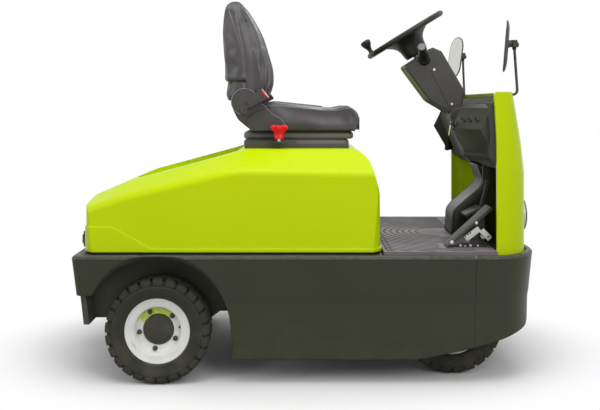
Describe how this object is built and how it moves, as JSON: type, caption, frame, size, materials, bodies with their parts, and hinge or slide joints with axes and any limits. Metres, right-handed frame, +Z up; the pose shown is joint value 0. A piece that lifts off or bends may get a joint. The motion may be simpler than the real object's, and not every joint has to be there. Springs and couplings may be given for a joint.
{
  "type": "airport baggage tug",
  "caption": "Compact seated electric tow tractor with a tilting battery hood, open footwell, steered front wheels and a pin coupling at the rear, for pulling baggage trailers.",
  "frame": {"origin": "on the floor, under the middle of the whole machine", "axes": "+X forward, +Y to the driver's left, +Z up"},
  "size_m": [1.7793, 0.9486, 1.42],
  "materials": {
    "body_green": "glossy lime green paint",
    "body_dark": "satin olive-black paint",
    "frame_black": "matt black paint",
    "tyre_rubber": "worn black rubber",
    "rim_white": "off-white paint",
    "hub_dark": "dark paint",
    "bare_steel": "machined",
    "black_plastic": "moulded, fine grain",
    "seat_vinyl": "black vinyl",
    "mat_rubber": "ribbed rubber mat",
    "seal_rubber": "black seal",
    "mirror_glass": "mirror",
    "lamp_red": "clear red",
    "lamp_clear": "clear lens",
    "knob_red": "moulded red",
    "sensor_grey": "pale grey",
    "battery_case": "dark grey case"
  },
  "bodies": {
    "chassis": {"side_skirt_right": "body_dark", "side_skirt_left": "body_dark", "front_bumper": "body_dark", "rear_apron": "body_dark", "rear_deck": "body_dark", "floor_plate": "body_dark", "floor_mat": "mat_rubber", "chassis_frame": "frame_black", "rear_plate": "frame_black", "battery": "battery_case", "drive_axle": "frame_black", "front_axle_beam": "frame_black", "hood_seal": "seal_rubber", "hinge_brackets": "frame_black", "front_cowl": "body_green", "headlamps": "lamp_clear", "dash": "black_plastic", "pedestal": "black_plastic", "column_cover": "black_plastic", "direction_lever": "black_plastic", "accelerator_pedal": "frame_black", "accelerator_sensor": "sensor_grey", "brake_pedal": "frame_black", "mirror_stalks": "frame_black", "mirror_housings": "black_plastic", "mirror_glasses": "mirror_glass", "tow_coupling": "frame_black"},
    "hood": {"hood": "body_green", "hinge_leaves": "frame_black", "tail_lamp_housings": "black_plastic", "tail_lamp_lenses": "lamp_red", "seat_bellows": "black_plastic", "seat_pan": "frame_black", "seat_rails": "frame_black", "seat_cushion": "seat_vinyl", "recliner_covers": "black_plastic", "weight_knob": "knob_red", "belt_buckles": "black_plastic", "slide_lever": "frame_black"},
    "backrest": {"seat_backrest": "seat_vinyl"},
    "steering_wheel": {"steering_wheel": "black_plastic", "spinner_knob": "black_plastic", "steering_column": "bare_steel"},
    "knuckle_right": {"knuckle_right": "frame_black"},
    "knuckle_left": {"knuckle_left": "frame_black"},
    "tie_rod": {"tie_rod": "bare_steel"},
    "tow_pin": {"tow_pin": "bare_steel"},
    "wheel_front_right": {"tyre_front_right": "tyre_rubber", "rim_front_right": "rim_white", "hub_front_right": "hub_dark"},
    "wheel_front_left": {"tyre_front_left": "tyre_rubber", "rim_front_left": "rim_white", "hub_front_left": "hub_dark"},
    "wheel_rear_right": {"tyre_rear_right": "tyre_rubber", "rim_rear_right": "rim_white", "hub_rear_right": "hub_dark"},
    "wheel_rear_left": {"tyre_rear_left": "tyre_rubber", "rim_rear_left": "rim_white", "hub_rear_left": "hub_dark"}
  },
  "joints": [
    {"name": "steer_right", "type": "hinge", "parent": "chassis", "child": "knuckle_right", "pos_m": [0.58, -0.195, 0.191], "axis": [0, 0, 1], "range_deg": [-38, 38]},
    {"name": "steer_left", "type": "hinge", "parent": "chassis", "child": "knuckle_left", "pos_m": [0.58, 0.195, 0.191], "axis": [0, 0, 1], "range_deg": [-38, 38]},
    {"name": "tie_rod_pivot", "type": "hinge", "parent": "knuckle_right", "child": "tie_rod", "pos_m": [0.47, -0.195, 0.178], "axis": [0, 0, 1], "range_deg": [-38, 38]},
    {"name": "steering_turn", "type": "hinge", "parent": "chassis", "child": "steering_wheel", "pos_m": [0.448, 0, 1.3], "axis": [-0.524, 0, 0.8517], "range_deg": [-380, 380]},
    {"name": "hood_tilt", "type": "hinge", "parent": "chassis", "child": "hood", "pos_m": [-0.798, 0, 0.482], "axis": [0, -1, 0], "range_deg": [0, 60]},
    {"name": "backrest_recline", "type": "hinge", "parent": "hood", "child": "backrest", "pos_m": [-0.203, 0, 1.019], "axis": [0, -1, 0], "range_deg": [0, 20]},
    {"name": "tow_pin_lift", "type": "slide", "parent": "chassis", "child": "tow_pin", "axis": [0, 0, 1], "range_m": [0, 0.065]},
    {"name": "spin_front_right", "type": "hinge", "parent": "knuckle_right", "child": "wheel_front_right", "pos_m": [0.58, -0.2865, 0.191], "axis": [0, 1, 0], "continuous": true},
    {"name": "spin_front_left", "type": "hinge", "parent": "knuckle_left", "child": "wheel_front_left", "pos_m": [0.58, 0.2865, 0.191], "axis": [0, 1, 0], "continuous": true},
    {"name": "spin_rear_right", "type": "hinge", "parent": "chassis", "child": "wheel_rear_right", "pos_m": [-0.505, -0.4015, 0.191], "axis": [0, 1, 0], "continuous": true},
    {"name": "spin_rear_left", "type": "hinge", "parent": "chassis", "child": "wheel_rear_left", "pos_m": [-0.505, 0.4015, 0.191], "axis": [0, 1, 0], "continuous": true}
  ],
  "couplings": [
    {"joint": "steer_left", "follows": "steer_right", "ratio": 1},
    {"joint": "tie_rod_pivot", "follows": "steer_right", "ratio": -1},
    {"joint": "steering_turn", "follows": "steer_right", "ratio": 10}
  ]
}
